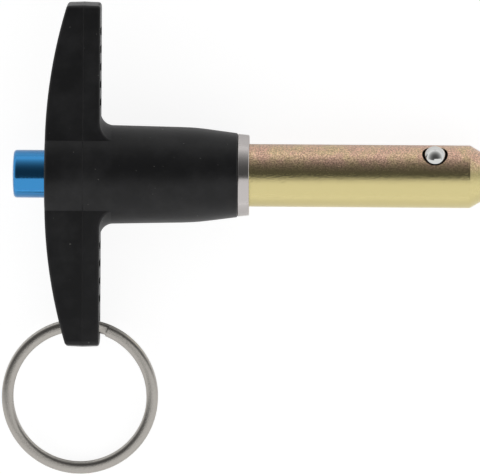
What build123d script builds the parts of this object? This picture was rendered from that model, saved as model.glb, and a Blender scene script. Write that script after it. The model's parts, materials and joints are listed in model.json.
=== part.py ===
from build123d import *
import os
from math import atan, cos, pi, radians, sin, sqrt, tan

# A ball lock pin with a T-handle: a plated steel shank whose two balls are held out by a
# spring-loaded spindle, a moulded T-handle with a press button, and a split ring to tether it.
#
# Frame: origin on the pin's axis at the collar's front face, where the pin stops against the work.
# +X runs along the shank to its tip, +Y along the T-bar away from the ring, and +Z is up.
# Sizes are in millimetres and degrees.

# Shank
shank_diameter = 12.7
tip_face = 47.7
tip_chamfer_length = 3.0
tip_chamfer_angle = 30.0
spindle_bore_diameter = 6.0
tail_diameter = 10.5
tail_length = 26.2
tail_groove_count = 4
tail_groove_width = 1.6
tail_groove_depth = 0.4
tail_groove_pitch = 5.0

# Locking balls
ball_diameter = 4.7625
ball_position = 37.56
ball_angle = 48.0
ball_protrusion = 1.35
ball_travel = 1.4
ball_clearance = 0.05
ball_recess_diameter = 5.14
ball_recess_depth = 0.45

# Spindle
press_stroke = 4.5
land_clearance = 0.07
cam_clearance = 0.05
neck_clearance = 0.06
neck_lead_in = 3.0
rear_land_length = 8.0
stem_diameter = 4.0
flange_diameter = 7.2
flange_thickness = 1.4
flange_clearance = 0.1
flange_chamfer = 0.3

# Button and its cross pin
button_diameter = 9.7
button_proud = 6.65
button_edge_round = 0.7
button_dome_height = 0.25
press_stop_gap = 0.3
stem_insertion = 13.0
stem_end_gap = 0.5
stem_fit_clearance = 0.02
cross_pin_diameter = 1.6
cross_pin_length = 8.6
cross_pin_inset = 4.0
cross_pin_clearance = 0.01

# Return spring
spring_wire_diameter = 0.8
spring_mean_diameter = 6.2
spring_active_coils = 6
spring_end_pitch = 0.95
spring_seat_gap = 0.1
spring_pocket_depth = 17.2
spring_pocket_clearance = 0.35

# Collar
collar_thickness = 2.35
collar_front_diameter = 16.3
collar_rear_diameter = 16.8
collar_edge_round = 0.25
collar_seat_depth = 1.2
collar_bore_clearance = 0.02

# T-handle: barrel and hub
barrel_nose_diameter = 17.1
barrel_nose_taper = 7.2
barrel_nose_length = 6.0
barrel_shoulder_radius = 52.0
barrel_draft = 1.2
nose_chamfer = 0.2
tail_fit_clearance = 0.02
tail_end_gap = 0.2
button_bore_clearance = 0.1
button_bore_chamfer = 0.35

# T-handle: bar
finger_face = -30.2
handle_back = -41.35
parting_plane = -33.6
bar_length = 70.0
bar_depth_at_hub = 14.9
bar_depth_at_ends = 13.0
bar_end_crown = 0.7
bar_draft = 2.0
bar_back_corner_round = 0.75
back_flat_length = 10.0
back_curve_radius = 101.0
back_edge_round = 0.65
finger_edge_round = 0.5
barrel_blend_radius = 2.7
barrel_blend_meet_angle = 6.0
barrel_blend_run_in = 3.5

# T-handle: grip grooves across the finger face
groove_pitch = 3.6
groove_width = 1.7
groove_depth = 0.35
groove_root_margin = 1.0
groove_hole_margin = 0.8
groove_end_margin = 3.0
groove_side_margin = 1.3
groove_draft = 20.0

# Ring hole and split ring
ring_hole_diameter = 4.76
ring_hole_inset = 4.4
ring_hole_chamfer = 0.3
ring_outer_diameter = 31.75
ring_wire_width = 2.35
ring_wire_thickness = 1.2
ring_wire_corner = 0.4
ring_turn_gap = 0.06
ring_hole_slack = 0.3
ring_jog_angle = 34.0
ring_cut_angle = 68.0
ring_jog_stations = 5
ring_droop = 5.5

os.makedirs("parts", exist_ok=True)


def turned(*outline):
    """A solid turned about the pin's axis from edges in the XY plane, or from (x, radius) corners."""
    if isinstance(outline[0], tuple):
        outline = [Polyline(*outline, close=True)]
    return revolve(make_face(outline), Axis.X)


def round_bar(radius, x_from, x_to):
    """A plain cylinder on the pin's axis."""
    return turned((x_from, 0), (x_to, 0), (x_to, radius), (x_from, radius))


# ---- sizes that several pieces share
shank_radius = shank_diameter / 2
bore_radius = spindle_bore_diameter / 2
tail_radius = tail_diameter / 2
tail_end = -tail_length
flange_seat = tip_face - flange_thickness
spring_floor = tail_end + spring_pocket_depth
spring_outer_radius = (spring_mean_diameter + spring_wire_diameter) / 2
spring_pocket_radius = spring_outer_radius + spring_pocket_clearance

ball_radius = ball_diameter / 2
ball_height = shank_radius + ball_protrusion - ball_radius
ball_hole_radius = ball_radius + ball_clearance
ball_angles = {"locking_ball_upper": ball_angle, "locking_ball_lower": ball_angle + 180}

button_radius = button_diameter / 2
button_end = handle_back - button_proud
button_front = tail_end - press_stroke - press_stop_gap
stem_radius = stem_diameter / 2
stem_end = button_front - stem_insertion
cross_pin_position = button_front - cross_pin_inset

nose_slope = radians(barrel_nose_taper)
draft_slope = radians(barrel_draft)
cone_end = -collar_thickness - barrel_nose_length
cone_end_radius = barrel_nose_diameter / 2 + barrel_nose_length * tan(nose_slope)
shoulder_end = cone_end - barrel_shoulder_radius * (sin(nose_slope) - sin(draft_slope))
shoulder_end_radius = cone_end_radius + barrel_shoulder_radius * (cos(draft_slope) - cos(nose_slope))


def along_ball_hole(angle):
    """Where a ball hole's own frame stands: its origin on the pin's axis and its +Z out of the hole."""
    return Pos(ball_position, 0, 0) * Rot(-angle, 0, 0)


def ball_hole():
    """The hole that guides a ball, closed in to a seat that keeps it, under a flat staking recess."""
    recess_floor = shank_radius - ball_recess_depth
    recess_radius = ball_recess_diameter / 2
    seat_rise = recess_floor - ball_height
    mouth_radius = sqrt(ball_hole_radius**2 - seat_rise**2)
    half_rise = seat_rise / 2
    half_radius = sqrt(ball_hole_radius**2 - half_rise**2)
    above = shank_radius + ball_radius
    wall = Line((0, 0), (ball_hole_radius, 0)) + Line((ball_hole_radius, 0), (ball_hole_radius, ball_height))
    seat = ThreePointArc(
        (ball_hole_radius, ball_height), (half_radius, ball_height + half_rise), (mouth_radius, recess_floor)
    )
    recess = Polyline(
        (mouth_radius, recess_floor), (recess_radius, recess_floor), (recess_radius, above), (0, above), (0, 0)
    )
    return revolve(Plane.XZ * make_face(wall + seat + recess), Axis.Z)


def make_shank():
    tip_radius = shank_radius - tip_chamfer_length * tan(radians(tip_chamfer_angle))
    seat_radius = flange_diameter / 2 + flange_clearance
    shank = turned(
        (tail_end, spring_pocket_radius),
        (tail_end, tail_radius),
        (-collar_seat_depth, tail_radius),
        (-collar_seat_depth, shank_radius),
        (tip_face - tip_chamfer_length, shank_radius),
        (tip_face, tip_radius),
        (tip_face, seat_radius),
        (flange_seat, seat_radius),
        (flange_seat, bore_radius),
        (spring_floor, bore_radius),
        (spring_floor, spring_pocket_radius),
    )
    for angle in ball_angles.values():
        shank -= along_ball_hole(angle) * ball_hole()
    return shank - tail_grooves(0)


def tail_grooves(clearance):
    """The rings of plastic that grip the tail's grooves, held off each groove wall by a clearance."""
    inner_radius = tail_radius - tail_groove_depth + clearance
    outer_radius = tail_radius + tail_groove_depth
    half_width = tail_groove_width / 2 - clearance
    rings = []
    for i in range(tail_groove_count):
        middle = tail_end + (i + 1) * tail_groove_pitch
        disc = round_bar(outer_radius, middle - half_width, middle + half_width)
        rings.append(disc - round_bar(inner_radius, middle - half_width, middle + half_width))
    return rings


def make_ball(angle):
    return along_ball_hole(angle) * Pos(0, 0, ball_height) * Sphere(ball_radius)


def make_spindle():
    """The release rod: its cone holds the balls out, and its neck lets them in once it is pushed."""
    cam_slope = ball_travel / press_stroke
    land_radius = bore_radius - land_clearance
    neck_radius = ball_height - ball_travel - ball_radius - neck_clearance
    cone_under_ball = ball_height - (ball_radius + cam_clearance) / cos(atan(cam_slope))
    cone_top = ball_position + (land_radius - cone_under_ball) / cam_slope
    cone_foot = ball_position - (cone_under_ball - neck_radius) / cam_slope
    neck_start = ball_position - press_stroke - neck_lead_in
    flange_radius = flange_diameter / 2
    spindle = turned(
        (stem_end, 0),
        (stem_end, stem_radius),
        (neck_start - rear_land_length, stem_radius),
        (neck_start - rear_land_length, land_radius),
        (neck_start, land_radius),
        (neck_start, neck_radius),
        (cone_foot, neck_radius),
        (cone_top, land_radius),
        (flange_seat, land_radius),
        (flange_seat, flange_radius),
        (tip_face - flange_chamfer, flange_radius),
        (tip_face, flange_radius - flange_chamfer),
        (tip_face, 0),
    )
    return spindle - cross_pin(cross_pin_clearance)


def cross_pin(clearance):
    """The pin across the button and the stem, or with a clearance the hole that it goes through."""
    length = cross_pin_length + (button_diameter if clearance else 0)
    return Pos(cross_pin_position, 0, 0) * Cylinder(cross_pin_diameter / 2 + clearance, length)


def make_button():
    shoulder = button_radius - button_edge_round
    dome_start = button_end + button_dome_height
    dome = ThreePointArc((dome_start, -shoulder), (button_end, 0), (dome_start, shoulder)).trim(0.5, 1)
    edge = RadiusArc((dome_start, shoulder), (dome_start + button_edge_round, button_radius), button_edge_round)
    sides = Polyline(
        (dome_start + button_edge_round, button_radius), (button_front, button_radius), (button_front, 0), (button_end, 0)
    )
    button = turned(dome, edge, sides)
    button -= round_bar(stem_radius + stem_fit_clearance, stem_end - stem_end_gap, button_front)
    return button - cross_pin(cross_pin_clearance)


def make_return_spring():
    """A compression spring with one closed coil at each end."""
    seat_to_seat = spring_floor - button_front - 2 * spring_seat_gap
    wire_rise = seat_to_seat - spring_wire_diameter
    active_pitch = (wire_rise - 2 * spring_end_pitch) / spring_active_coils
    x = button_front + spring_seat_gap + spring_wire_diameter / 2
    wire = []
    for pitch, coils in ((spring_end_pitch, 1), (active_pitch, spring_active_coils), (spring_end_pitch, 1)):
        wire.append(Helix(pitch, pitch * coils, spring_mean_diameter / 2, center=(x, 0, 0), direction=(1, 0, 0)))
        x += pitch * coils
    section = Plane(origin=wire[0] @ 0, z_dir=wire[0] % 0) * Circle(spring_wire_diameter / 2)
    return sweep(section, path=Wire(wire), is_frenet=True)


def make_collar():
    """The ferrule that the shank's shoulder seats in, held against the handle's nose."""
    tail_bore = tail_radius + collar_bore_clearance
    seat_bore = shank_radius + collar_bore_clearance
    collar = turned(
        (-collar_thickness, tail_bore),
        (-collar_thickness, collar_rear_diameter / 2),
        (0, collar_front_diameter / 2),
        (0, seat_bore),
        (-collar_seat_depth, seat_bore),
        (-collar_seat_depth, tail_bore),
    )
    rims = collar.edges().filter_by(GeomType.CIRCLE).sort_by(lambda e: e.radius)[-2:]
    return fillet(rims, collar_edge_round)


def make_split_ring():
    """Two turns of flat wire with a gap between them, joined where one end steps over to the other turn."""
    path_radius = (ring_outer_diameter - ring_wire_width) / 2
    layer = (ring_wire_thickness + ring_turn_gap) / 2
    turn_angle = 360 - ring_jog_angle
    jog_end = ring_cut_angle
    jog_start = ring_cut_angle + ring_jog_angle

    def section(angle, height):
        flat = RectangleRounded(ring_wire_width, ring_wire_thickness, ring_wire_corner)
        return Rot(0, 0, angle) * Pos(path_radius, 0, height) * Rot(90, 0, 0) * flat

    near = revolve(section(jog_start, layer), Axis.Z, turn_angle)
    far = revolve(section(jog_start, -layer), Axis.Z, turn_angle)
    stations = []
    for i in range(ring_jog_stations):
        along = i / (ring_jog_stations - 1)
        height = layer * cos(radians(180 * along))
        stations.append(section(jog_start + (jog_end - jog_start) * along, height))
    jog = loft(stations)
    return ring_place() * (near + jog + far)


def ring_place():
    """Where the ring hangs, drawn out towards the hole's wall; its own frame has it flat in XY and centred."""
    path_radius = (ring_outer_diameter - ring_wire_width) / 2
    sag_in_hole = (ring_hole_back() - finger_face) ** 2 / (8 * path_radius)
    return ring_hinge() * Rot(ring_droop, 0, 0) * Pos(0, sag_in_hole / 2 - ring_hole_slack - path_radius, 0)


def bar_back(y):
    """The bar's convex back: flat behind the hub, then one arc to each end."""
    from_flat = max(abs(y) - back_flat_length / 2, 0)
    return handle_back + back_curve_radius - sqrt(back_curve_radius**2 - from_flat**2)


def ring_hole_back():
    return bar_back(bar_length / 2 - ring_hole_inset)


def ring_hinge():
    """The ring hole's frame: halfway through the bar, near its lower end."""
    return Pos((ring_hole_back() + finger_face) / 2, ring_hole_inset - bar_length / 2, 0)


def drafted_radius(x):
    """The barrel's radius where it runs straight, from its shoulder back to the parting plane."""
    return shoulder_end_radius + (shoulder_end - x) * tan(draft_slope)


def side_body():
    """The handle's outline seen square to the T, carried right through it: its convex back, its ends."""
    flat_end = back_flat_length / 2
    reach = bar_length / 2 + barrel_blend_radius
    middle = (flat_end + reach) / 2
    upper = ThreePointArc((handle_back, flat_end), (bar_back(middle), middle), (bar_back(reach), reach))
    lower = ThreePointArc((handle_back, -flat_end), (bar_back(-middle), -middle), (bar_back(-reach), -reach))
    back = Line((handle_back, -flat_end), (handle_back, flat_end))
    front = Polyline((bar_back(reach), reach), (0, reach), (0, -reach), (bar_back(-reach), -reach))
    return extrude(make_face([upper, back, lower, front]), amount=bar_depth_at_hub, both=True)


def round_back(solid):
    """Round every edge that lies on the handle's convex back, leaving the seams across it."""
    rims = []
    for edge in solid.edges():
        points = [edge @ 0, edge @ 0.5, edge @ 1]
        on_back = all(abs(point.X - bar_back(point.Y)) < 0.01 for point in points)
        across = all(abs(abs(point.Y) - back_flat_length / 2) < 0.01 for point in points)
        if on_back and not across:
            rims.append(edge)
    return fillet(rims, back_edge_round)


def make_barrel():
    """The barrel with the hub behind it, drafted both ways from the parting plane."""
    nose_radius = barrel_nose_diameter / 2
    parting_radius = drafted_radius(parting_plane)
    back_radius = parting_radius - (parting_plane - handle_back) * tan(draft_slope)
    shoulder = RadiusArc(
        (shoulder_end, shoulder_end_radius), (cone_end, cone_end_radius), barrel_shoulder_radius
    )
    rest = Polyline(
        (cone_end, cone_end_radius),
        (-collar_thickness - nose_chamfer, nose_radius),
        (-collar_thickness, nose_radius - nose_chamfer),
        (-collar_thickness, 0),
        (handle_back, 0),
        (handle_back, back_radius),
        (parting_plane, parting_radius),
        (shoulder_end, shoulder_end_radius),
    )
    return round_back(turned(shoulder, rest) & side_body())


# where the root flare's section is centred, so that it starts square to the finger face
flare_x = finger_face + barrel_blend_radius
flare_reach = barrel_blend_radius * cos(radians(barrel_blend_meet_angle)) / cos(draft_slope)
flare_radius = drafted_radius(flare_x) + flare_reach


def on_flare(tilt):
    """A point of the flare's section, by the slope that the surface has there."""
    return flare_x - barrel_blend_radius * sin(tilt), flare_radius - barrel_blend_radius * cos(tilt)


def root_flare():
    """The sweep from the finger face on to the barrel, which it meets at a small angle and runs into."""
    run_in_slope = draft_slope + radians(barrel_blend_meet_angle) / 2
    outer = (finger_face, flare_radius)
    inner = on_flare(run_in_slope)
    middle = on_flare((run_in_slope + pi / 2) / 2)
    buried_x = inner[0] + barrel_blend_run_in * cos(run_in_slope)
    buried_radius = inner[1] - barrel_blend_run_in * sin(run_in_slope)
    return turned(
        ThreePointArc(outer, middle, inner),
        Polyline(
            inner,
            (buried_x, buried_radius),
            (buried_x, 0),
            (parting_plane, 0),
            (parting_plane, flare_radius),
            outer,
        ),
    )


def bar_blank(front):
    """The bar's two mould halves, crowned at the ends, which narrow away from the parting plane."""
    half_length = bar_length / 2
    corner = half_length - bar_end_crown
    hub_half = bar_depth_at_hub / 2
    end_half = bar_depth_at_ends / 2
    outline = make_face([
        ThreePointArc((corner, -end_half), (half_length, 0), (corner, end_half)),
        Polyline((corner, end_half), (0, hub_half), (-corner, end_half)),
        ThreePointArc((-corner, end_half), (-half_length, 0), (-corner, -end_half)),
        Polyline((-corner, -end_half), (0, -hub_half), (corner, -end_half)),
    ])
    ends = outline.vertices().group_by(Axis.X)
    corner_round = bar_back_corner_round + (parting_plane - handle_back) * tan(radians(bar_draft))
    outline = fillet(ends[0] + ends[-1], corner_round)
    halves = []
    for facing, depth in ((1, front - parting_plane), (-1, parting_plane - handle_back)):
        parting = Plane(origin=(parting_plane, 0, 0), x_dir=(0, 1, 0), z_dir=(facing, 0, 0))
        halves.append(extrude(parting * outline, amount=depth, taper=bar_draft))
    return halves[0] + halves[1]


def make_bar():
    """The T-bar with its root flare; the flare's front end is buried in the barrel."""
    flare = root_flare()
    front = flare.bounding_box().max.X
    behind_finger_face = Pos(finger_face, 0, 0) * Box(
        bar_length, 2 * bar_length, 2 * bar_depth_at_hub, align=(Align.MAX, Align.CENTER, Align.CENTER)
    )
    bar = bar_blank(front + nose_chamfer) & ((side_body() & behind_finger_face) + flare)
    bar = round_back(bar & side_body())
    rims = []
    for edge in bar.edges():
        points = [edge @ (i / 4) for i in range(5)]
        ahead = all(point.X > finger_face - 0.01 for point in points)
        buried = all(point.X > front - 0.01 for point in points)
        around_barrel = edge.geom_type == GeomType.CIRCLE and edge.radius > tail_radius
        if ahead and not buried and not around_barrel:
            rims.append(edge)
    return fillet(rims, finger_edge_round)


def handle_bores():
    """The button's bore from the back and the tail's bore from the nose, with the rings that grip it."""
    bore = button_radius + button_bore_clearance
    button_bore = turned(
        (handle_back - button_proud, 0),
        (handle_back - button_proud, bore + button_proud + button_bore_chamfer),
        (handle_back + button_bore_chamfer, bore),
        (tail_end, bore),
        (tail_end, 0),
    )
    tail_bore = round_bar(tail_radius + tail_fit_clearance, tail_end - tail_end_gap, 0)
    return [button_bore, tail_bore - tail_grooves(tail_fit_clearance)]


def drill_ring_hole(bar):
    """Put the ring's hole through the bar and break both of its rims."""
    radius = ring_hole_diameter / 2
    hinge = ring_hinge()
    drilled = bar - hinge * Rot(0, 90, 0) * Cylinder(radius, 2 * bar_depth_at_hub)
    rims = []
    for edge in drilled.edges():
        offsets = [(edge @ (i / 4) - hinge.position) for i in range(5)]
        round_hole = all(abs(Vector(0, offset.Y, offset.Z).length - radius) < 0.01 for offset in offsets)
        along_hole = max(offset.X for offset in offsets) - min(offset.X for offset in offsets) > radius
        if round_hole and not along_hole:
            rims.append(edge)
    return chamfer(rims, ring_hole_chamfer)


def grip_grooves():
    """Shallow grooves across the finger face, from the root flare to the bar's end or to the ring hole."""
    half_length = bar_length / 2
    hole_edge = half_length - ring_hole_inset - ring_hole_diameter / 2 - ring_hole_chamfer
    limits = {1: half_length - groove_end_margin, -1: hole_edge - groove_hole_margin}
    grooves = []
    for side, limit in limits.items():
        out = flare_radius + groove_root_margin + groove_width / 2
        while out + groove_width / 2 <= limit:
            bar_depth = bar_depth_at_hub + (bar_depth_at_ends - bar_depth_at_hub) * out / half_length
            mouth = Plane(origin=(finger_face, side * out, 0), x_dir=(0, 1, 0), z_dir=(-1, 0, 0))
            outline = mouth * Rectangle(groove_width, bar_depth - 2 * groove_side_margin)
            grooves.append(extrude(outline, amount=groove_depth, taper=groove_draft))
            out += groove_pitch
    return grooves


def make_t_handle():
    handle = drill_ring_hole(make_bar()) + make_barrel()
    return handle - grip_grooves() - handle_bores()


nodes = {
    "t_handle": make_t_handle(),
    "collar": make_collar(),
    "shank": make_shank(),
    "spindle": make_spindle(),
    "button": make_button(),
    "button_pin": cross_pin(0),
    "return_spring": make_return_spring(),
    "split_ring": make_split_ring(),
}
for name, angle in ball_angles.items():
    nodes[name] = make_ball(angle)

for name, node in nodes.items():
    export_step(node, f"parts/{name}.step")
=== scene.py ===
"""A ball lock pin lying on a pale table: the finishes of its pieces, its return spring and the stage."""

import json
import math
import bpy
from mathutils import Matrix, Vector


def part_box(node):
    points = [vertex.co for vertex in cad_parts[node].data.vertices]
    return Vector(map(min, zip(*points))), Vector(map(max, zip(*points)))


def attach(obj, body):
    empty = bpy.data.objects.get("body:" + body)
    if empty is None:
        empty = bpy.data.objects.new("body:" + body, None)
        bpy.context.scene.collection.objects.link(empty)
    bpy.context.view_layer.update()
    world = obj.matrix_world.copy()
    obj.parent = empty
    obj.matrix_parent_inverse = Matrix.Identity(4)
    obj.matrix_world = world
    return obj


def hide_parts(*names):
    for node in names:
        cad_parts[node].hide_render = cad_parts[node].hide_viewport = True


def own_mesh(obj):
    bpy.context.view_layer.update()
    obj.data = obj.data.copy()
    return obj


bl_info = {
    "name": "Ball Lock Pin",
    "version": (1, 0, 0),
    "blender": (4, 5, 0),
    "location": "View3D > Sidebar > Ball Lock Pin",
    "description": "Finishes, return spring and stage for a T-handle ball lock pin",
    "category": "Object",
}

import bpy
from bpy.props import FloatProperty, FloatVectorProperty, IntProperty, PointerProperty
from mathutils import Matrix, Vector

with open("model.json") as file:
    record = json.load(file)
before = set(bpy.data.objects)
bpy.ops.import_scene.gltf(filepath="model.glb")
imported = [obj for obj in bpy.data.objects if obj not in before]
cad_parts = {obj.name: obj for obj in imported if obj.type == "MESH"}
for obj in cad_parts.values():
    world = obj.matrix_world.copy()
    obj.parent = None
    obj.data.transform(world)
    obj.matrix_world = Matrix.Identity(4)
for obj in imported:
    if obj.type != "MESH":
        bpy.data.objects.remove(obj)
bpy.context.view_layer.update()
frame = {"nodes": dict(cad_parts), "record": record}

MM = 0.001
# keeps a piece made here just inside the CAD box
INSIDE = 0.001 * MM
# edges sharper than this stay crisp on a smooth-shaded piece
SHARP_EDGE = math.radians(40)
# half the width of the soft edge on the tent's bright wall, as a cosine
WALL_EDGE_BLUR = 0.02
SENSOR_WIDTH = 36.0
CLIP_NEAR, CLIP_FAR = 0.01, 20.0
WHITE = (1.0, 1.0, 1.0, 1.0)


def to_linear(hex_colour):
    """An sRGB hex colour as linear RGB with full alpha."""
    channels = [int(hex_colour[i : i + 2], 16) / 255 for i in (1, 3, 5)]
    linear = [c / 12.92 if c <= 0.04045 else ((c + 0.055) / 1.055) ** 2.4 for c in channels]
    return (*linear, 1.0)


def colour_property(name, description, hex_colour):
    return FloatVectorProperty(
        name=name, description=description, default=to_linear(hex_colour), size=4, min=0, max=1,
        subtype="COLOR",
    )


def length_property(name, description, millimetres):
    return FloatProperty(
        name=name, description=description, default=millimetres * MM, min=0, unit="LENGTH", precision=5
    )


def add(tree, kind, inputs=None, **settings):
    """Add a node with its settings. Each input gets a value, or a link where the value is a socket."""
    node = tree.nodes.new(kind)
    for name, value in settings.items():
        setattr(node, name, value)
    for key, value in (inputs or {}).items():
        if isinstance(value, bpy.types.NodeSocket):
            tree.links.new(value, node.inputs[key])
        else:
            node.inputs[key].default_value = value
    return node


def start_material(name):
    """An empty node material and its object coordinates, which are the pin's own frame in metres."""
    material = bpy.data.materials.new(name)
    material.use_nodes = True
    tree = material.node_tree
    tree.nodes.clear()
    place = add(tree, "ShaderNodeTexCoord").outputs["Object"]
    return material, tree, place


def finish_material(tree, **inputs):
    """Close a material with a Principled BSDF. Input names are written with underscores for spaces."""
    named = {name.replace("_", " "): value for name, value in inputs.items()}
    surface = add(tree, "ShaderNodeBsdfPrincipled", named)
    add(tree, "ShaderNodeOutputMaterial", {"Surface": surface.outputs["BSDF"]})


def dress(node_name, material):
    """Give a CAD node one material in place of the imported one."""
    slots = frame["nodes"][node_name].data.materials
    slots.clear()
    slots.append(material)


class BallPinHandleFinish(bpy.types.PropertyGroup):
    body_colour: colour_property("Body", "Colour of the moulded nylon", "#1e1e1f")
    bloom_colour: colour_property("Bloom", "Colour where glass fibre shows at the surface", "#2a2a2b")
    scuff_colour: colour_property("Scuffs", "Colour of the small rubbed spots", "#6b6a66")
    grain: length_property("Grain", "Size of the spark-eroded texture's grains", 0.3)
    parting_x: FloatProperty(
        name="Parting line", description="Where the mould halves meet, along the pin", default=-33.6 * MM,
        unit="LENGTH",
    )
    parting_width: length_property("Parting width", "Width of the witness line", 0.16)


class BallPinMetalFinish(bpy.types.PropertyGroup):
    chromate_colour: colour_property("Chromate", "Yellow of the chromated zinc", "#d4c790")
    # pink of the chromate film, partly its own tint and partly a painted pink reflection
    blush_and_painted_reflection: colour_property(
        "Chromate blush", "Pink that the chromate film takes where it drained", "#dbb59f"
    )
    collar_colour: colour_property("Collar", "Passivated stainless steel", "#c0bbb9")
    anodised_colour: colour_property("Button", "Blue anodised aluminium", "#3a8bc7")
    ball_colour: colour_property("Balls", "Polished bearing steel", "#d6d6d4")
    ring_colour: colour_property("Ring", "Drawn flat stainless wire", "#b0aca6")
    rod_colour: colour_property("Rod", "Ground carbon steel", "#a3a19c")
    plating_grain: length_property("Plating grain", "Size of the sparkling grains in the zinc", 0.33)
    grain_depth: length_property("Grain depth", "Height of the grains in the zinc", 0.05)
    # painted shade in the staked recess round each ball
    recess_shade_colour: colour_property("Oil", "Dark oil film in the staked edge round each ball", "#16130f")
    recess_shade_radius: length_property("Oiled radius", "Reach of the oil from the ball hole's line", 2.56)
    chamfer_length: length_property("Chamfer length", "Length of the shank's turned chamfer", 3.0)
    turning_pitch: length_property("Turning pitch", "Spacing of the lathe's feed marks", 0.22)


class BallPinSpringSizes(bpy.types.PropertyGroup):
    wire_diameter: length_property("Wire", "Diameter of the spring wire", 0.8)
    mean_diameter: length_property("Mean diameter", "Coil diameter at the wire's centre", 6.2)
    closed_pitch: length_property("Closed pitch", "Pitch of the closed coil at each end", 0.95)
    active_coils: FloatProperty(
        name="Active coils", description="Turns between the closed ends", default=6.0, min=1
    )
    points_per_coil: IntProperty(
        name="Points per coil", description="Points along one turn", default=72, min=12
    )
    wire_sides: IntProperty(name="Wire sides", description="Faces round the wire", default=20, min=6)
    squashed_share: FloatProperty(
        name="Squashed share", description="Spring length left with the button fully in", default=0.7936,
        subtype="FACTOR",
    )


class BallPinRingSizes(bpy.types.PropertyGroup):
    wire_width: length_property("Wire width", "Width of the flat wire across the ring", 2.35)
    wire_thickness: length_property("Wire thickness", "Thickness of the flat wire along the ring's axis", 1.2)
    crown: FloatProperty(
        name="Crown", description="How square the wire's section is: 2 is an ellipse", default=2.5, min=2.0
    )
    turn_gap: length_property("Turn gap", "Gap between the two turns", 0.06)
    cut_angle: FloatProperty(
        name="Cut angle", description="Where the near turn is cut", default=math.radians(68.0),
        subtype="ANGLE",
    )
    jog_angle: FloatProperty(
        name="Jog angle", description="Arc over which the wire steps between turns",
        default=math.radians(34.0), subtype="ANGLE",
    )
    path_points: IntProperty(name="Path points", description="Points along the wire", default=515, min=60)
    section_points: IntProperty(name="Section points", description="Points round the wire", default=40, min=8)


class BallPinStage(bpy.types.PropertyGroup):
    floor_height: FloatProperty(
        name="Floor height", description="Floor below the pin's origin", default=-8.9736 * MM, unit="LENGTH"
    )
    floor_rise_x: FloatProperty(
        name="Rise along the pin", description="Floor rise for each metre in X", default=0.05784
    )
    floor_rise_y: FloatProperty(
        name="Rise across the pin", description="Floor rise for each metre in Y", default=-0.11056
    )
    view_centre: FloatVectorProperty(
        name="View centre", description="Point of the pin's plane that the camera aims at", size=3,
        default=(-1.80 * MM, -12.55 * MM, 0.0), subtype="TRANSLATION", unit="LENGTH",
    )
    view_width: length_property("View width", "Width of the pin's plane that the camera shows", 97.34)
    camera_distance: length_property("Camera distance", "Camera from the view centre", 1750.0)
    camera_lean_x: FloatProperty(
        name="Camera lean along", description="Camera's way along the pin for each metre over it",
        default=0.009,
    )
    camera_lean_y: FloatProperty(
        name="Camera lean across", description="Camera's way across the pin for each metre over it",
        default=0.06,
    )
    camera_turn: FloatProperty(
        name="Camera turn", description="Turn of the camera about its own axis", default=0.0065,
        subtype="ANGLE",
    )
    floor_colour: colour_property("Floor", "White table", "#e8e8e6")
    floor_half_width: length_property("Floor half width", "Floor from its middle to each side", 4000.0)
    seen_white: FloatProperty(
        name="Seen white", description="Floor's own white as the camera sees it", default=0.88
    )
    seen_shade: FloatProperty(
        name="Seen shade", description="Share of light and shadow that it sees", default=0.28
    )
    mirrored_white: FloatProperty(
        name="Mirrored white", description="Floor's own white as metal shows it", default=0.28
    )
    mirrored_shade: FloatProperty(
        name="Mirrored shade", description="Share of light and shadow that metal shows", default=1.15
    )
    panel_strength: FloatProperty(
        name="Panel", description="Light of the long panel beside the pin", default=1.0
    )
    panel_height: length_property("Panel height", "Panel above the pin's plane", 500.0)
    panel_near_edge: length_property("Panel near edge", "Panel's near edge from the pin's axis", 56.0)
    panel_corner_from: length_property("Panel corner from", "Where the cut corner leaves the near edge", 8.0)
    panel_corner_to: length_property("Panel corner to", "Where the cut corner ends, behind the button", 62.0)
    panel_corner_depth: length_property("Panel corner depth", "How far the cut corner goes in", 132.0)
    panel_reach: length_property("Panel reach", "Panel's far sides from the pin", 1000.0)
    wall_edge: FloatProperty(
        name="Wall edge", description="Tilt from the camera at which the panel's wall takes over",
        default=math.radians(38.0), subtype="ANGLE",
    )
    tent_low: FloatProperty(name="Tent overhead", description="Light of the tent over the pin", default=0.085)
    tent_rise: FloatProperty(name="Tent rise", description="Added light at the tent's foot", default=1.4)
    tent_power: FloatProperty(
        name="Tent power", description="How late the tent brightens on its way down", default=2.9
    )


class BALLPIN_OT_handle_finish(bpy.types.Operator):
    """Finish the T-handle as black glass-filled nylon"""

    bl_idname = "ballpin.handle_finish"
    bl_label = "Handle Finish"

    def execute(self, context):
        dress("t_handle", moulded_glass_filled_nylon(context.scene.ballpin_handle))
        return {"FINISHED"}


class BALLPIN_OT_steel_finish(bpy.types.Operator):
    """Finish the shank, collar, rod, cross pin and balls"""

    bl_idname = "ballpin.steel_finish"
    bl_label = "Steel Finish"

    def execute(self, context):
        sizes = context.scene.ballpin_metal
        ground = ground_carbon_steel(sizes)
        ball = polished_bearing_steel(sizes)
        dress("shank", yellow_chromated_zinc_on_steel(sizes))
        dress("collar", turned_stainless_steel(sizes))
        dress("spindle", ground)
        dress("button_pin", ground)
        dress("locking_ball_upper", ball)
        dress("locking_ball_lower", ball)
        return {"FINISHED"}


class BALLPIN_OT_button_finish(bpy.types.Operator):
    """Finish the press button as turned, blue anodised aluminium"""

    bl_idname = "ballpin.button_finish"
    bl_label = "Button Finish"

    def execute(self, context):
        dress("button", blue_anodised_aluminium(context.scene.ballpin_metal))
        return {"FINISHED"}


class BALLPIN_OT_return_spring(bpy.types.Operator):
    """Coil the return spring"""

    bl_idname = "ballpin.return_spring"
    bl_label = "Return Spring"

    def execute(self, context):
        sizes = context.scene.ballpin_spring
        low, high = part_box("return_spring")
        spring = coil_spring("return_spring_coils", sizes, low.x, high.x, drawn_spring_wire())
        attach(spring, "pin_body")
        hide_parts("return_spring")
        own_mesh(spring)
        return {"FINISHED"}


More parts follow.
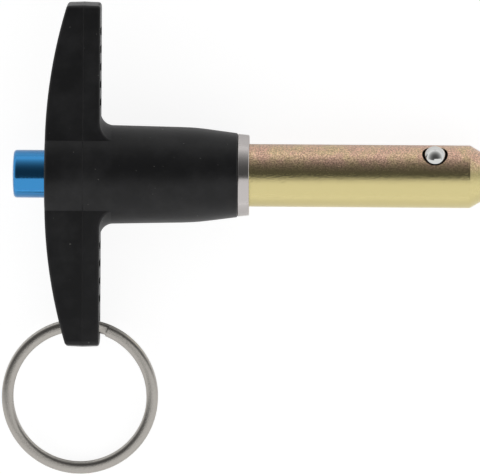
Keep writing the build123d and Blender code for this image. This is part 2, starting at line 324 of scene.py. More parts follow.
class BALLPIN_OT_split_ring(bpy.types.Operator):
    """Coil the split ring from crowned flat wire"""

    bl_idname = "ballpin.split_ring"
    bl_label = "Split Ring"

    def execute(self, context):
        steel = drawn_flat_stainless_wire(context.scene.ballpin_metal)
        ring = wind_split_ring("split_ring_wire", context.scene.ballpin_ring, steel)
        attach(ring, "ring")
        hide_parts("split_ring")
        return {"FINISHED"}


class BALLPIN_OT_stage(bpy.types.Operator):
    """Lay the floor under the pin, light it and set the camera over it"""

    bl_idname = "ballpin.stage"
    bl_label = "Stage"

    def execute(self, context):
        sizes = context.scene.ballpin_stage
        to_camera = Vector((sizes.camera_lean_x, sizes.camera_lean_y, 1)).normalized()
        picture_up = (Vector((0, 1, 0)) - to_camera * to_camera.y).normalized()
        make_floor(context.scene, sizes)
        hang_panel(context.scene, sizes)
        light_tent(context.scene, sizes, to_camera, picture_up)
        aim_camera(context.scene, sizes, to_camera, picture_up)
        context.scene.view_settings.view_transform = "Standard"
        return {"FINISHED"}


def moulded_glass_filled_nylon(sizes):
    """Black 33% glass-filled nylon, injection moulded in a spark-eroded tool.

    It gives a deep neutral black with a dull sheen, a very fine grain, faint grey blooming where the
    glass comes to the surface, a few rubbed spots, and a hairline where the mould halves meet.
    """
    material, tree, place = start_material("moulded_glass_filled_nylon")
    flow_mark, rubbed_spot = 6 * MM, 0.9 * MM
    grain_depth, witness_height = 0.05 * MM, 0.07 * MM
    bloom = add(
        tree, "ShaderNodeTexNoise", {"Vector": place, "Scale": 1 / flow_mark, "Detail": 4.0, "Roughness": 0.6}
    )
    # real spark grain is 0.05 to 0.1 mm: drawn coarser so that it shows
    grain = add(tree, "ShaderNodeTexNoise", {"Vector": place, "Scale": 1 / sizes.grain, "Detail": 3.0})
    speck = add(tree, "ShaderNodeTexNoise", {"Vector": place, "Scale": 1 / rubbed_spot, "Detail": 2.0})
    specks = add(
        tree, "ShaderNodeMapRange", {"Value": speck.outputs["Fac"], "From Min": 0.74, "From Max": 0.78},
        interpolation_type="SMOOTHSTEP",
    )
    blend = add(
        tree, "ShaderNodeMapRange", {"Value": bloom.outputs["Fac"], "From Min": 0.42, "From Max": 0.72}
    )
    body = add(
        tree, "ShaderNodeMix",
        {"Factor": blend.outputs["Result"], 6: tuple(sizes.body_colour), 7: tuple(sizes.bloom_colour)},
        data_type="RGBA",
    )
    colour = add(
        tree, "ShaderNodeMix",
        {"Factor": specks.outputs["Result"], 6: body.outputs[2], 7: tuple(sizes.scuff_colour)},
        data_type="RGBA",
    )
    # the witness line stands a few hundredths of a millimetre proud at the parting plane
    axes = add(tree, "ShaderNodeSeparateXYZ", {"Vector": place})
    off_line = add(tree, "ShaderNodeMath", {0: axes.outputs["X"], 1: sizes.parting_x}, operation="SUBTRACT")
    away = add(tree, "ShaderNodeMath", {0: off_line.outputs[0]}, operation="ABSOLUTE")
    line = add(
        tree, "ShaderNodeMapRange",
        {"Value": away.outputs[0], "From Max": sizes.parting_width / 2, "To Min": 1.0, "To Max": 0.0},
        interpolation_type="SMOOTHSTEP",
    )
    grain_bump = add(
        tree, "ShaderNodeBump", {"Height": grain.outputs["Fac"], "Strength": 0.16, "Distance": grain_depth}
    )
    line_bump = add(
        tree, "ShaderNodeBump",
        {
            "Height": line.outputs["Result"], "Strength": 1.0, "Distance": witness_height,
            "Normal": grain_bump.outputs["Normal"],
        },
    )
    roughness = add(
        tree, "ShaderNodeMapRange", {"Value": bloom.outputs["Fac"], "To Min": 0.3, "To Max": 0.42}
    )
    finish_material(
        tree,
        Base_Color=colour.outputs[2],
        Roughness=roughness.outputs["Result"],
        Specular_IOR_Level=0.22,
        Normal=line_bump.outputs["Normal"],
    )
    return material


def yellow_chromated_zinc_on_steel(sizes):
    """Ground alloy steel, zinc plated and yellow chromated.

    It gives a satin straw yellow that shifts to pink towards one side, partly where the chromate film drained
    thicker and partly as a painted pink reflection, with painted darker speckle on that side, the sparkling
    grain of the zinc, a few short scratches, turned rings on the chamfer and painted shade in the staked edge
    round each ball.
    """
    material, tree, place = start_material("yellow_chromated_zinc_on_steel")
    film_patch, scratch_width, scratch_depth, recess_shade_edge = 3.5 * MM, 0.3 * MM, 0.02 * MM, 0.12 * MM
    axes = add(tree, "ShaderNodeSeparateXYZ", {"Vector": place})
    # the film turns pink towards one side of the shank, whose radius is 6.35 mm: partly the chromate's own
    # drained tint, partly a painted pink reflection on the side away from the panel
    side = add(
        tree, "ShaderNodeMapRange",
        {"Value": axes.outputs["Y"], "From Min": 0.3 * MM, "From Max": 3.2 * MM},
        interpolation_type="SMOOTHSTEP",
    )
    cloud = add(
        tree, "ShaderNodeTexNoise",
        {"Vector": place, "Scale": 1 / film_patch, "Detail": 4.0, "Roughness": 0.6},
    )
    patchy = add(
        tree, "ShaderNodeMapRange",
        {"Value": cloud.outputs["Fac"], "From Min": 0.36, "From Max": 0.6, "To Min": 0.5, "To Max": 1.0},
    )
    drained_and_painted_pink = add(
        tree, "ShaderNodeMath", {0: side.outputs["Result"], 1: patchy.outputs["Result"]}, operation="MULTIPLY"
    )
    # pink towards the side away from the panel: partly the film's own tint, partly painted reflection
    film = add(
        tree, "ShaderNodeMix",
        {"Factor": drained_and_painted_pink.outputs[0], 6: tuple(sizes.chromate_colour), 7: tuple(sizes.blush_and_painted_reflection)},
        data_type="RGBA",
    )
    # zinc crystals are a few hundredths of a millimetre: drawn coarser so that their sparkle shows
    grain = add(
        tree, "ShaderNodeTexNoise",
        {"Vector": place, "Scale": 1 / sizes.plating_grain, "Detail": 3.0, "Roughness": 0.7},
    )
    # on the side away from the panel the colour is made darker and speckled at the grain's size: painted
    # reflection
    mottle = add(
        tree, "ShaderNodeMapRange",
        {"Value": grain.outputs["Fac"], "From Min": 0.35, "From Max": 0.65, "To Min": 0.52, "To Max": 1.24},
    )
    mottled = add(
        tree, "ShaderNodeMix", {"Factor": side.outputs["Result"], 2: 1.0, 3: mottle.outputs["Result"]},
        data_type="FLOAT",
    )
    toned = add(
        tree, "ShaderNodeVectorMath", {0: film.outputs[2], 3: mottled.outputs[0]}, operation="SCALE"
    )
    # painted shade in the staked recess round each ball: distance from the line through both balls
    low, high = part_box("locking_ball_upper")
    ball = (low + high) / 2
    outward = Vector((0, ball.y, ball.z)).normalized()
    from_ball = add(tree, "ShaderNodeVectorMath", {0: place, 1: ball}, operation="SUBTRACT")
    across = add(
        tree, "ShaderNodeVectorMath", {0: from_ball.outputs[0], 1: outward}, operation="CROSS_PRODUCT"
    )
    off_line = add(tree, "ShaderNodeVectorMath", {0: across.outputs[0]}, operation="LENGTH")
    recess_shade = add(
        tree, "ShaderNodeMapRange",
        {
            "Value": off_line.outputs["Value"], "To Min": 1.0, "To Max": 0.0,
            "From Min": sizes.recess_shade_radius, "From Max": sizes.recess_shade_radius + recess_shade_edge,
        },
    )
    # the staked recess round each ball is darkened with painted shade
    colour = add(
        tree, "ShaderNodeMix",
        {"Factor": recess_shade.outputs["Result"], 6: toned.outputs[0], 7: tuple(sizes.recess_shade_colour)},
        data_type="RGBA",
    )
    grain_bump = add(
        tree, "ShaderNodeBump",
        {"Height": grain.outputs["Fac"], "Strength": 0.8, "Distance": sizes.grain_depth},
    )
    # handling marks run nearly along the shank, a millimetre or two long
    along = add(
        tree, "ShaderNodeMapping", {"Vector": place, "Rotation": (0, 0, 0.18), "Scale": (0.13, 1.0, 1.0)}
    )
    marks = add(
        tree, "ShaderNodeTexNoise",
        {"Vector": along.outputs["Vector"], "Scale": 1 / scratch_width, "Detail": 1.0, "Distortion": 0.4},
    )
    struck = add(
        tree, "ShaderNodeMapRange", {"Value": cloud.outputs["Fac"], "From Min": 0.56, "From Max": 0.62}
    )
    sharp = add(
        tree, "ShaderNodeMapRange", {"Value": marks.outputs["Fac"], "From Min": 0.68, "From Max": 0.74}
    )
    scratches = add(
        tree, "ShaderNodeMath", {0: sharp.outputs["Result"], 1: struck.outputs["Result"]},
        operation="MULTIPLY",
    )
    mark_bump = add(
        tree, "ShaderNodeBump",
        {
            "Height": scratches.outputs[0], "Strength": 0.7, "Distance": scratch_depth,
            "Normal": grain_bump.outputs["Normal"],
        },
    )
    # the chamfer was turned after the shank was ground
    _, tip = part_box("shank")
    on_chamfer = add(
        tree, "ShaderNodeMath", {0: axes.outputs["X"], 1: tip.x - sizes.chamfer_length},
        operation="GREATER_THAN",
    )
    rings = ring_pattern(tree, place, sizes.turning_pitch)
    turned = add(
        tree, "ShaderNodeMath", {0: rings.outputs["Fac"], 1: on_chamfer.outputs[0]}, operation="MULTIPLY"
    )
    turned_bump = add(
        tree, "ShaderNodeBump",
        {
            "Height": turned.outputs[0], "Strength": 0.7, "Distance": scratch_depth,
            "Normal": mark_bump.outputs["Normal"],
        },
    )
    roughness = add(
        tree, "ShaderNodeMapRange", {"Value": cloud.outputs["Fac"], "To Min": 0.16, "To Max": 0.26}
    )
    finish_material(
        tree,
        Base_Color=colour.outputs[2],
        Metallic=1.0,
        Roughness=roughness.outputs["Result"],
        Normal=turned_bump.outputs["Normal"],
    )
    return material


def patchy_roughness(tree, place, patch, low, high):
    """A roughness that drifts between two values over patches of one size."""
    tone = add(tree, "ShaderNodeTexNoise", {"Vector": place, "Scale": 1 / patch, "Detail": 3.0})
    drift = add(tree, "ShaderNodeMapRange", {"Value": tone.outputs["Fac"], "To Min": low, "To Max": high})
    return drift.outputs["Result"]


def ring_pattern(tree, place, pitch):
    """Noise drawn out round the pin's axis into fine rings, as a lathe tool leaves."""
    drawn_out = 0.02
    along = add(tree, "ShaderNodeMapping", {"Vector": place, "Scale": (1.0, drawn_out, drawn_out)})
    return add(
        tree, "ShaderNodeTexNoise", {"Vector": along.outputs["Vector"], "Scale": 1 / pitch, "Detail": 3.0}
    )


def feed_marks(tree, place, pitch, depth):
    """A bump of the lathe's rings."""
    rings = ring_pattern(tree, place, pitch)
    return add(tree, "ShaderNodeBump", {"Height": rings.outputs["Fac"], "Strength": 0.5, "Distance": depth})


def turned_stainless_steel(sizes):
    """Stainless steel turned on a lathe and passivated.

    It gives a cool satin grey whose highlight is drawn out by fine rings round the collar.
    """
    material, tree, place = start_material("turned_stainless_steel")
    roughness = patchy_roughness(tree, place, 2.5 * MM, 0.14, 0.26)
    marks = feed_marks(tree, place, sizes.turning_pitch, 0.01 * MM)
    finish_material(
        tree,
        Base_Color=tuple(sizes.collar_colour),
        Metallic=1.0,
        Roughness=roughness,
        Normal=marks.outputs["Normal"],
    )
    return material


def blue_anodised_aluminium(sizes):
    """Turned aluminium, dyed blue in the anodising.

    It gives a saturated blue metal, nearly black where nothing bright faces it, with fine turned rings
    under the clear oxide, whose own white glint shows along the rounded edge.
    """
    material, tree, place = start_material("blue_anodised_aluminium")
    roughness = patchy_roughness(tree, place, 2 * MM, 0.08, 0.14)
    marks = feed_marks(tree, place, sizes.turning_pitch, 0.006 * MM)
    finish_material(
        tree,
        Base_Color=tuple(sizes.anodised_colour),
        Metallic=1.0,
        Roughness=roughness,
        Coat_Weight=0.15,
        Coat_IOR=1.6,
        Coat_Roughness=0.06,
        Normal=marks.outputs["Normal"],
    )
    return material


def polished_bearing_steel(sizes):
    """Hardened bearing balls, ground and lapped: a near mirror with a trace of haze."""
    material, tree, place = start_material("polished_bearing_steel")
    roughness = patchy_roughness(tree, place, 0.7 * MM, 0.02, 0.06)
    finish_material(tree, Base_Color=tuple(sizes.ball_colour), Metallic=1.0, Roughness=roughness)
    return material


def ground_carbon_steel(sizes):
    """Centreless ground rod: plain grey steel with fine rings from the wheel."""
    material, tree, place = start_material("ground_carbon_steel")
    roughness = patchy_roughness(tree, place, 1.5 * MM, 0.22, 0.36)
    marks = feed_marks(tree, place, sizes.turning_pitch / 2, 0.008 * MM)
    finish_material(
        tree,
        Base_Color=tuple(sizes.rod_colour),
        Metallic=1.0,
        Roughness=roughness,
        Normal=marks.outputs["Normal"],
    )
    return material


def drawn_flat_stainless_wire(sizes):
    """Flat wire drawn from stainless steel, coiled and tumbled.

    It gives a soft grey metal with rubbed scratches that cross at random.
    """
    material, tree, place = start_material("drawn_flat_stainless_wire")
    rub = add(
        tree, "ShaderNodeTexNoise",
        {"Vector": place, "Scale": 1 / (0.35 * MM), "Detail": 4.0, "Distortion": 1.2},
    )
    roughness = patchy_roughness(tree, place, 3 * MM, 0.17, 0.32)
    rubbed = add(
        tree, "ShaderNodeBump", {"Height": rub.outputs["Fac"], "Strength": 0.5, "Distance": 0.03 * MM}
    )
    finish_material(
        tree,
        Base_Color=tuple(sizes.ring_colour),
        Metallic=1.0,
        Roughness=roughness,
        Normal=rubbed.outputs["Normal"],
    )
    return material


def drawn_spring_wire():
    """Music wire: dark drawn steel with a thin film of oil."""
    material, tree, place = start_material("drawn_spring_wire")
    roughness = patchy_roughness(tree, place, 1.2 * MM, 0.2, 0.34)
    finish_material(
        tree, Base_Color=to_linear("#8f8b84"), Metallic=1.0, Roughness=roughness
    )
    return material


def coil_tree(material):
    """Geometry Nodes for a compression spring along X with a closed coil at each end."""
    tree = bpy.data.node_groups.new("compression_spring", "GeometryNodeTree")
    socket = tree.interface.new_socket
    socket("Geometry", in_out="OUTPUT", socket_type="NodeSocketGeometry")
    for name in ("Start", "Wire Rise", "Mean Radius", "Wire Radius", "Closed Pitch", "Active Coils"):
        socket(name, in_out="INPUT", socket_type="NodeSocketFloat")
    for name in ("Points", "Wire Sides"):
        socket(name, in_out="INPUT", socket_type="NodeSocketInt")
    given = add(tree, "NodeGroupInput").outputs
    line = add(tree, "GeometryNodeMeshLine", {"Count": given["Points"]})
    wire = add(tree, "GeometryNodeMeshToCurve", {"Mesh": line.outputs["Mesh"]})
    index = add(tree, "GeometryNodeInputIndex")
    last = add(tree, "ShaderNodeMath", {0: given["Points"], 1: 1.0}, operation="SUBTRACT")
    along = add(tree, "ShaderNodeMath", {0: index.outputs["Index"], 1: last.outputs[0]}, operation="DIVIDE")
    coils = add(tree, "ShaderNodeMath", {0: given["Active Coils"], 1: 2.0}, operation="ADD")
    turn = add(tree, "ShaderNodeMath", {0: along.outputs[0], 1: coils.outputs[0]}, operation="MULTIPLY")
    angle = add(tree, "ShaderNodeMath", {0: turn.outputs[0], 1: math.tau}, operation="MULTIPLY")
    # the rise is at the closed pitch over the first and last coil and even in between
    open_end = add(tree, "ShaderNodeMath", {0: coils.outputs[0], 1: 1.0}, operation="SUBTRACT")
    open_rise = add(
        tree, "ShaderNodeMath", {0: given["Wire Rise"], 1: given["Closed Pitch"]}, operation="SUBTRACT"
    )
    first = add(tree, "ShaderNodeMapRange", {"Value": turn.outputs[0], "To Max": given["Closed Pitch"]})
    middle = add(
        tree, "ShaderNodeMapRange",
        {
            "Value": turn.outputs[0], "From Min": 1.0, "From Max": open_end.outputs[0],
            "To Min": given["Closed Pitch"], "To Max": open_rise.outputs[0],
        },
    )
    final = add(
        tree, "ShaderNodeMapRange",
        {
            "Value": turn.outputs[0], "From Min": open_end.outputs[0], "From Max": coils.outputs[0],
            "To Min": open_rise.outputs[0], "To Max": given["Wire Rise"],
        },
    )
    past_first = add(tree, "ShaderNodeMath", {0: turn.outputs[0], 1: 1.0}, operation="GREATER_THAN")
    past_middle = add(
        tree, "ShaderNodeMath", {0: turn.outputs[0], 1: open_end.outputs[0]}, operation="GREATER_THAN"
    )
    early = add(
        tree, "ShaderNodeMix",
        {"Factor": past_first.outputs[0], 2: first.outputs["Result"], 3: middle.outputs["Result"]},
        data_type="FLOAT",
    )
    rise = add(
        tree, "ShaderNodeMix",
        {"Factor": past_middle.outputs[0], 2: early.outputs[0], 3: final.outputs["Result"]},
        data_type="FLOAT",
    )
    x = add(tree, "ShaderNodeMath", {0: given["Start"], 1: rise.outputs[0]}, operation="ADD")
    cosine = add(tree, "ShaderNodeMath", {0: angle.outputs[0]}, operation="COSINE")
    sine = add(tree, "ShaderNodeMath", {0: angle.outputs[0]}, operation="SINE")
    y = add(tree, "ShaderNodeMath", {0: cosine.outputs[0], 1: given["Mean Radius"]}, operation="MULTIPLY")
    z = add(tree, "ShaderNodeMath", {0: sine.outputs[0], 1: given["Mean Radius"]}, operation="MULTIPLY")
    point = add(tree, "ShaderNodeCombineXYZ", {"X": x.outputs[0], "Y": y.outputs[0], "Z": z.outputs[0]})
    coiled = add(
        tree, "GeometryNodeSetPosition",
        {"Geometry": wire.outputs["Curve"], "Position": point.outputs["Vector"]},
    )
    section = add(
        tree, "GeometryNodeCurvePrimitiveCircle",
        {"Resolution": given["Wire Sides"], "Radius": given["Wire Radius"]},
    )
    tube = add(
        tree, "GeometryNodeCurveToMesh",
        {"Curve": coiled.outputs["Geometry"], "Profile Curve": section.outputs["Curve"], "Fill Caps": True},
    )
    realised = add(tree, "GeometryNodeRealizeInstances", {"Geometry": tube.outputs["Mesh"]})
    shown = add(
        tree, "GeometryNodeSetMaterial", {"Geometry": realised.outputs["Geometry"], "Material": material}
    )
    add(tree, "NodeGroupOutput", {"Geometry": shown.outputs["Geometry"]})
    return tree


def grow(name, tree, values):
    """Evaluate a tree with the values given to its inputs and keep the result as a plain mesh."""
    carrier = bpy.data.objects.new(name + "_carrier", bpy.data.meshes.new(name + "_carrier"))
    bpy.context.scene.collection.objects.link(carrier)
    modifier = carrier.modifiers.new("shape", "NODES")
    modifier.node_group = tree
    for item in tree.interface.items_tree:
        if item.in_out == "INPUT":
            modifier[item.identifier] = values[item.name]
    evaluated = carrier.evaluated_get(bpy.context.evaluated_depsgraph_get())
    mesh = bpy.data.meshes.new_from_object(evaluated)
    mesh.name = name
    bpy.data.objects.remove(carrier)
    if not mesh.polygons:
        raise RuntimeError(name + ": the tree gave no faces")
    mesh.shade_smooth()
    mesh.set_sharp_from_angle(angle=SHARP_EDGE)
    piece = bpy.data.objects.new(name, mesh)
    bpy.context.scene.collection.objects.link(piece)
    return piece


def coil_spring(name, sizes, x_from, x_to, material):
    """The return spring between two places on the axis."""
    wire_radius = sizes.wire_diameter / 2
    values = {
        "Start": x_from + wire_radius,
        "Wire Rise": x_to - x_from - 2 * wire_radius,
        "Mean Radius": sizes.mean_diameter / 2,
        "Wire Radius": wire_radius,
        "Closed Pitch": sizes.closed_pitch,
        "Active Coils": sizes.active_coils,
        "Points": round(sizes.points_per_coil * (sizes.active_coils + 2)) + 1,
        "Wire Sides": sizes.wire_sides,
    }
    return grow(name, coil_tree(material), values)


def split_ring_tree(material):
    """Geometry Nodes for two turns of crowned flat wire, which steps from one turn to the other."""
    tree = bpy.data.node_groups.new("split_ring", "GeometryNodeTree")
    socket = tree.interface.new_socket
    socket("Geometry", in_out="OUTPUT", socket_type="NodeSocketGeometry")
    for name in ("Path Radius", "Layer", "Half Width", "Half Thickness", "Crown", "Cut Angle", "Jog Angle"):
        socket(name, in_out="INPUT", socket_type="NodeSocketFloat")
    for name in ("Centre", "Rotation"):
        socket(name, in_out="INPUT", socket_type="NodeSocketVector")
    for name in ("Path Points", "Section Points"):
        socket(name, in_out="INPUT", socket_type="NodeSocketInt")
    given = add(tree, "NodeGroupInput").outputs

    # the wire runs from the near turn's cut, round to the jog, through it and round the far turn
    line = add(tree, "GeometryNodeMeshLine", {"Count": given["Path Points"]})
    wire = add(tree, "GeometryNodeMeshToCurve", {"Mesh": line.outputs["Mesh"]})
    index = add(tree, "GeometryNodeInputIndex")
    last = add(tree, "ShaderNodeMath", {0: given["Path Points"], 1: 1.0}, operation="SUBTRACT")
    start = add(tree, "ShaderNodeMath", {0: given["Cut Angle"], 1: math.tau}, operation="ADD")
    jog_start = add(tree, "ShaderNodeMath", {0: given["Cut Angle"], 1: given["Jog Angle"]}, operation="ADD")
    end = add(tree, "ShaderNodeMath", {0: jog_start.outputs[0], 1: math.tau}, operation="SUBTRACT")
    angle = add(
        tree, "ShaderNodeMapRange",
        {
            "Value": index.outputs["Index"], "From Max": last.outputs[0],
            "To Min": start.outputs[0], "To Max": end.outputs[0],
        },
    )
    stepped = add(
        tree, "ShaderNodeMapRange",
        {
            "Value": angle.outputs["Result"], "To Min": 0.0, "To Max": math.pi,
            "From Min": jog_start.outputs[0], "From Max": given["Cut Angle"],
        },
    )
    place = {}
    for axis, turn, operation, reach in (
        ("X", angle, "COSINE", given["Path Radius"]),
        ("Y", angle, "SINE", given["Path Radius"]),
        ("Z", stepped, "COSINE", given["Layer"]),
    ):
        share = add(tree, "ShaderNodeMath", {0: turn.outputs["Result"]}, operation=operation)
        scaled = add(tree, "ShaderNodeMath", {0: share.outputs[0], 1: reach}, operation="MULTIPLY")
        place[axis] = scaled.outputs[0]
    point = add(tree, "ShaderNodeCombineXYZ", place)
    wound = add(
        tree, "GeometryNodeSetPosition",
        {"Geometry": wire.outputs["Curve"], "Position": point.outputs["Vector"]},
    )
    upright = add(tree, "GeometryNodeSetCurveNormal", {"Curve": wound.outputs["Geometry"]}, mode="Z_UP")

    # the section is a superellipse, crowned on both faces
    section = add(
        tree, "GeometryNodeCurvePrimitiveCircle", {"Resolution": given["Section Points"], "Radius": 1.0}
    )
    position = add(tree, "GeometryNodeInputPosition")
    on_circle = add(tree, "ShaderNodeSeparateXYZ", {"Vector": position.outputs["Position"]})
    power = add(tree, "ShaderNodeMath", {0: 2.0, 1: given["Crown"]}, operation="DIVIDE")
    sides = {}
    for axis, half in (("X", given["Half Width"]), ("Y", given["Half Thickness"])):
        size = add(tree, "ShaderNodeMath", {0: on_circle.outputs[axis]}, operation="ABSOLUTE")
        bent = add(tree, "ShaderNodeMath", {0: size.outputs[0], 1: power.outputs[0]}, operation="POWER")
        sign = add(tree, "ShaderNodeMath", {0: on_circle.outputs[axis]}, operation="SIGN")
        signed = add(tree, "ShaderNodeMath", {0: bent.outputs[0], 1: sign.outputs[0]}, operation="MULTIPLY")
        scaled = add(tree, "ShaderNodeMath", {0: signed.outputs[0], 1: half}, operation="MULTIPLY")
        sides[axis] = scaled.outputs[0]
    corner = add(tree, "ShaderNodeCombineXYZ", sides)
    flat = add(
        tree, "GeometryNodeSetPosition",
        {"Geometry": section.outputs["Curve"], "Position": corner.outputs["Vector"]},
    )
    swept = add(
        tree, "GeometryNodeCurveToMesh",
        {"Curve": upright.outputs["Curve"], "Profile Curve": flat.outputs["Geometry"], "Fill Caps": True},
    )
    placed = add(
        tree, "GeometryNodeTransform",
        {"Geometry": swept.outputs["Mesh"], "Translation": given["Centre"], "Rotation": given["Rotation"]},
    )
    realised = add(tree, "GeometryNodeRealizeInstances", {"Geometry": placed.outputs["Geometry"]})
    shown = add(
        tree, "GeometryNodeSetMaterial", {"Geometry": realised.outputs["Geometry"], "Material": material}
    )
    add(tree, "NodeGroupOutput", {"Geometry": shown.outputs["Geometry"]})
    return tree


def wind_split_ring(name, sizes, material):
    """The split ring where the frame has it: its centre and axis are the record's tether mount."""
    mount = next(m for m in frame["record"]["mounts"] if m["name"] == "tether_ring")
    axis = Vector(mount["axis"])
    low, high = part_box("split_ring")
    values = {
        "Path Radius": (high.x - low.x - sizes.wire_width) / 2 - INSIDE,
        "Layer": (sizes.wire_thickness + sizes.turn_gap) / 2,
        "Half Width": sizes.wire_width / 2,
        "Half Thickness": sizes.wire_thickness / 2,
        "Crown": sizes.crown,
        "Cut Angle": sizes.cut_angle,
        "Jog Angle": sizes.jog_angle,
        "Centre": mount["pos_m"],
        "Rotation": (math.atan2(-axis.y, axis.z), 0.0, 0.0),
        "Path Points": sizes.path_points,
        "Section Points": sizes.section_points,
    }
    return grow(name, split_ring_tree(material), values)


def make_floor(scene, sizes):
    """A wide white table, which shows as white to the camera and keeps a soft shadow under the pin."""
    up = Vector((-sizes.floor_rise_x, -sizes.floor_rise_y, 1)).normalized()
    material, tree, _ = start_material("white_table")
    ray = add(tree, "ShaderNodeLightPath").outputs
    paper = add(tree, "ShaderNodeBsdfDiffuse", {"Color": tuple(sizes.floor_colour)})
    # to the camera the table is white with a faint shadow, and to metal white with a plainer one
    shade = add(
        tree, "ShaderNodeMix",
        {"Factor": ray["Is Camera Ray"], 2: sizes.mirrored_shade, 3: sizes.seen_shade}, data_type="FLOAT",
    )
    white = add(
        tree, "ShaderNodeMix",
        {"Factor": ray["Is Camera Ray"], 2: sizes.mirrored_white, 3: sizes.seen_white}, data_type="FLOAT",
    )
    shaded = add(tree, "ShaderNodeBsdfDiffuse", {"Color": shade.outputs[0]})
    glow = add(tree, "ShaderNodeEmission", {"Color": WHITE, "Strength": white.outputs[0]})
    seen = add(tree, "ShaderNodeAddShader", {0: shaded.outputs[0], 1: glow.outputs[0]})
    looked_at = add(
        tree, "ShaderNodeMath", {0: ray["Is Camera Ray"], 1: ray["Is Glossy Ray"]}, operation="MAXIMUM"
    )
    direct = add(
        tree, "ShaderNodeMath", {0: looked_at.outputs[0], 1: ray["Is Transmission Ray"]}, operation="MAXIMUM"
    )
    surface = add(
        tree, "ShaderNodeMixShader", {0: direct.outputs[0], 1: paper.outputs[0], 2: seen.outputs[0]}
    )
    add(tree, "ShaderNodeOutputMaterial", {"Surface": surface.outputs[0]})
    half = sizes.floor_half_width
    x_axis = Vector((up.z, 0, -up.x)).normalized()
    y_axis = up.cross(x_axis)
    centre = Vector((0, 0, sizes.floor_height))
    corners = [
        centre + x_axis * i * half + y_axis * j * half for i, j in ((-1, -1), (1, -1), (1, 1), (-1, 1))
    ]
    mesh = bpy.data.meshes.new("floor")
    mesh.from_pydata(corners, [], [(0, 1, 2, 3)])
    mesh.materials.append(material)
    floor = bpy.data.objects.new("floor", mesh)
    scene.collection.objects.link(floor)


def hang_panel(scene, sizes):
    """A level light panel over one side of the pin, with a corner cut off behind the button."""
    material, tree, _ = start_material("light_panel")
    glow = add(tree, "ShaderNodeEmission", {"Color": WHITE, "Strength": sizes.panel_strength})
    add(tree, "ShaderNodeOutputMaterial", {"Surface": glow.outputs[0]})
    far = sizes.panel_reach
    near = -sizes.panel_near_edge
    cut = near - sizes.panel_corner_depth
    outline = (
        (far, near), (-sizes.panel_corner_from, near), (-sizes.panel_corner_to, cut), (-far, cut),
        (-far, -far), (far, -far),
    )
    mesh = bpy.data.meshes.new("light_panel")
    mesh.from_pydata([(x, y, sizes.panel_height) for x, y in outline], [], [tuple(range(len(outline)))])
    mesh.materials.append(material)
    panel = bpy.data.objects.new("light_panel", mesh)
    panel.visible_camera = False
    scene.collection.objects.link(panel)


def light_tent(scene, sizes, to_camera, picture_up):
    """A light tent: an even bright wall below the panel, and cloth opposite that darkens on its way up."""
    world = bpy.data.worlds.new("light_tent")
    scene.world = world
    world.use_nodes = True
    tree = world.node_tree
    tree.nodes.clear()
    direction = add(tree, "ShaderNodeTexCoord").outputs["Generated"]
    edge_normal = -picture_up * math.cos(sizes.wall_edge) - to_camera * math.sin(sizes.wall_edge)
    across = add(tree, "ShaderNodeVectorMath", {0: direction, 1: edge_normal}, operation="DOT_PRODUCT")
    panel = add(
        tree, "ShaderNodeMapRange",
        {"Value": across.outputs["Value"], "From Min": -WALL_EDGE_BLUR, "From Max": WALL_EDGE_BLUR},
        interpolation_type="SMOOTHSTEP",
    )
    height = add(tree, "ShaderNodeVectorMath", {0: direction, 1: to_camera}, operation="DOT_PRODUCT")
    from_top = add(tree, "ShaderNodeMath", {0: height.outputs["Value"]}, operation="ARCCOSINE")
    share = add(tree, "ShaderNodeMath", {0: from_top.outputs[0], 1: math.pi / 2}, operation="DIVIDE")
    curve = add(tree, "ShaderNodeMath", {0: share.outputs[0], 1: sizes.tent_power}, operation="POWER")
    tent = add(
        tree, "ShaderNodeMath", {0: curve.outputs[0], 1: sizes.tent_rise, 2: sizes.tent_low},
        operation="MULTIPLY_ADD",
    )
    cloth = add(tree, "ShaderNodeMath", {0: tent.outputs[0], 1: sizes.panel_strength}, operation="MINIMUM")
    lit = add(
        tree, "ShaderNodeMix",
        {"Factor": panel.outputs["Result"], 2: cloth.outputs[0], 3: sizes.panel_strength},
        data_type="FLOAT",
    )
    # past the floor's edge the camera sees plain white
    ray = add(tree, "ShaderNodeLightPath").outputs
    strength = add(
        tree, "ShaderNodeMix", {"Factor": ray["Is Camera Ray"], 2: lit.outputs[0], 3: 1.0}, data_type="FLOAT"
    )
    light = add(tree, "ShaderNodeBackground", {"Color": WHITE, "Strength": strength.outputs[0]})
    add(tree, "ShaderNodeOutputWorld", {"Surface": light.outputs["Background"]})


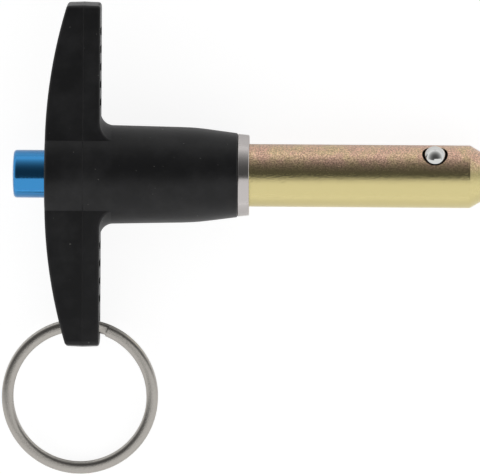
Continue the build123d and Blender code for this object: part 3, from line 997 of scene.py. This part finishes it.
def aim_camera(scene, sizes, to_camera, picture_up):
    """A camera far over the pin with a long lens."""
    data = bpy.data.cameras.new("camera")
    data.sensor_width = SENSOR_WIDTH
    data.lens = data.sensor_width * sizes.camera_distance / sizes.view_width
    data.clip_start = CLIP_NEAR
    data.clip_end = CLIP_FAR
    camera = bpy.data.objects.new("camera", data)
    scene.collection.objects.link(camera)
    right = picture_up.cross(to_camera)
    right_turned = right * math.cos(sizes.camera_turn) + picture_up * math.sin(sizes.camera_turn)
    up_turned = to_camera.cross(right_turned)
    rotation = Matrix((right_turned, up_turned, to_camera)).transposed()
    place = Vector(sizes.view_centre) + to_camera * sizes.camera_distance
    camera.matrix_world = Matrix.Translation(place) @ rotation.to_4x4()
    scene.camera = camera


class BALLPIN_PT_panel(bpy.types.Panel):
    """Lists the pin's operators, sizes and colours"""

    bl_label = "Ball Lock Pin"
    bl_space_type = "VIEW_3D"
    bl_region_type = "UI"
    bl_category = "Ball Lock Pin"

    def draw(self, context):
        for step in STEPS:
            self.layout.operator(step.bl_idname)
        for name, group in GROUPS.items():
            box = self.layout.box()
            for field in group.__annotations__:
                box.prop(getattr(context.scene, name), field)


STEPS = (
    BALLPIN_OT_handle_finish,
    BALLPIN_OT_steel_finish,
    BALLPIN_OT_button_finish,
    BALLPIN_OT_return_spring,
    BALLPIN_OT_split_ring,
    BALLPIN_OT_stage,
)
GROUPS = {
    "ballpin_handle": BallPinHandleFinish,
    "ballpin_metal": BallPinMetalFinish,
    "ballpin_spring": BallPinSpringSizes,
    "ballpin_ring": BallPinRingSizes,
    "ballpin_stage": BallPinStage,
}


def register():
    for group in GROUPS.values():
        bpy.utils.register_class(group)
    for step in STEPS:
        bpy.utils.register_class(step)
    bpy.utils.register_class(BALLPIN_PT_panel)
    for name, group in GROUPS.items():
        setattr(bpy.types.Scene, name, PointerProperty(type=group))


def unregister():
    for name in GROUPS:
        delattr(bpy.types.Scene, name)
    bpy.utils.unregister_class(BALLPIN_PT_panel)
    for step in reversed(STEPS):
        bpy.utils.unregister_class(step)
    for group in reversed(tuple(GROUPS.values())):
        bpy.utils.unregister_class(group)


def main():
    register()
    bpy.ops.ballpin.handle_finish()
    bpy.ops.ballpin.steel_finish()
    bpy.ops.ballpin.button_finish()
    bpy.ops.ballpin.return_spring()
    bpy.ops.ballpin.split_ring()
    bpy.ops.ballpin.stage()


if __name__ == "__main__":
    main()
